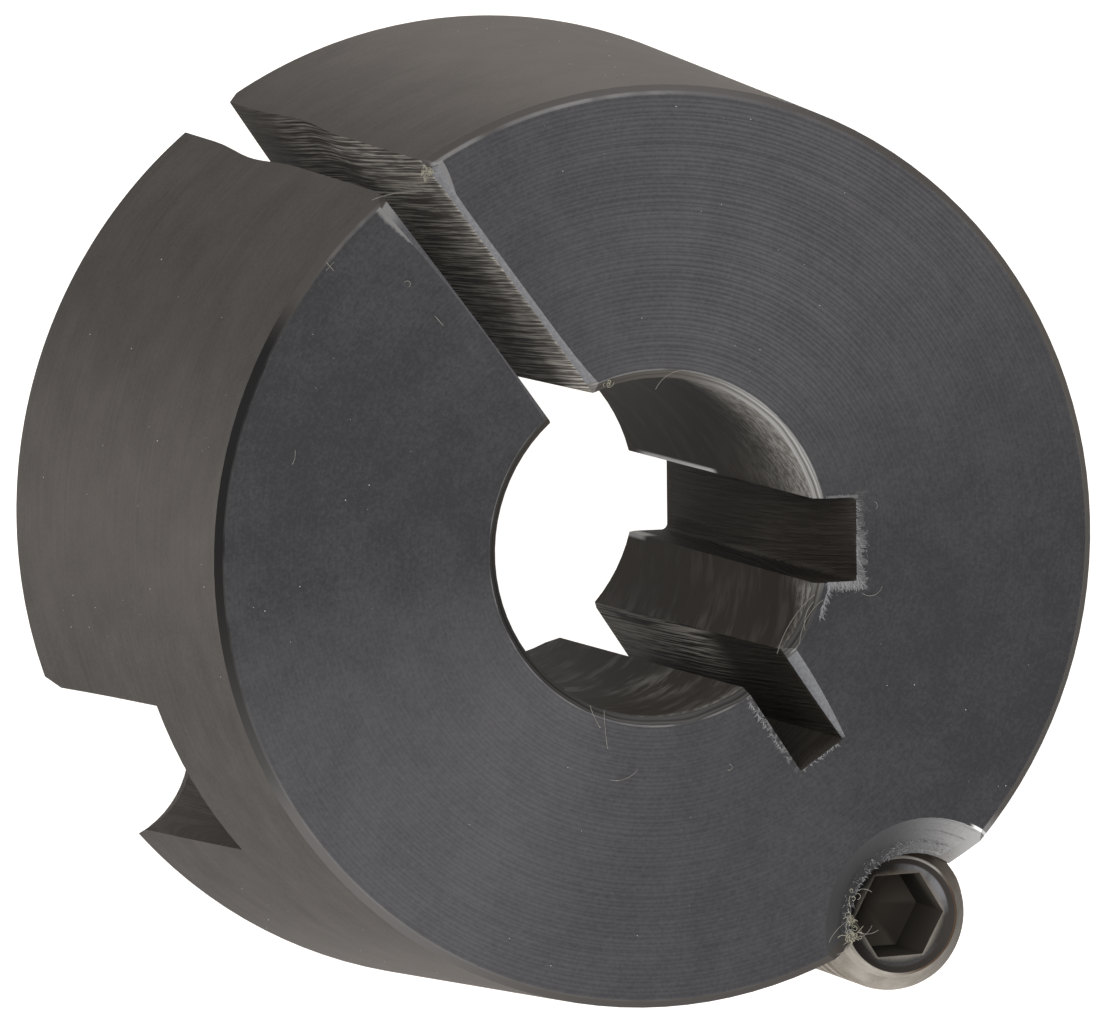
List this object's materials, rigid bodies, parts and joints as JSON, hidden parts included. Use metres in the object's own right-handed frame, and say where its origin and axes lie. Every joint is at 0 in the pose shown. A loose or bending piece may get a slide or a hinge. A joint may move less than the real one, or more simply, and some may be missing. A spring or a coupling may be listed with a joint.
{
  "type": "split taper bush",
  "caption": "Split, tapered clamping bush with keyed bore, relief slot and half-round screw recesses; a socket set screw sits in the threaded recess.",
  "frame": {"origin": "the bore's axis at the face of the large end, on which the bush stands", "axes": "+Z runs along the bore towards the small end; the threaded recess with the set screw is towards -Y, the split towards +Y"},
  "size_m": [0.0382, 0.0406, 0.0222],
  "materials": {
    "taper_bush": "black oxide over turned steel",
    "set_screw": "black oxide"
  },
  "bodies": {
    "root": {"taper_bush": "taper_bush", "set_screw": "set_screw"}
  },
  "joints": []
}
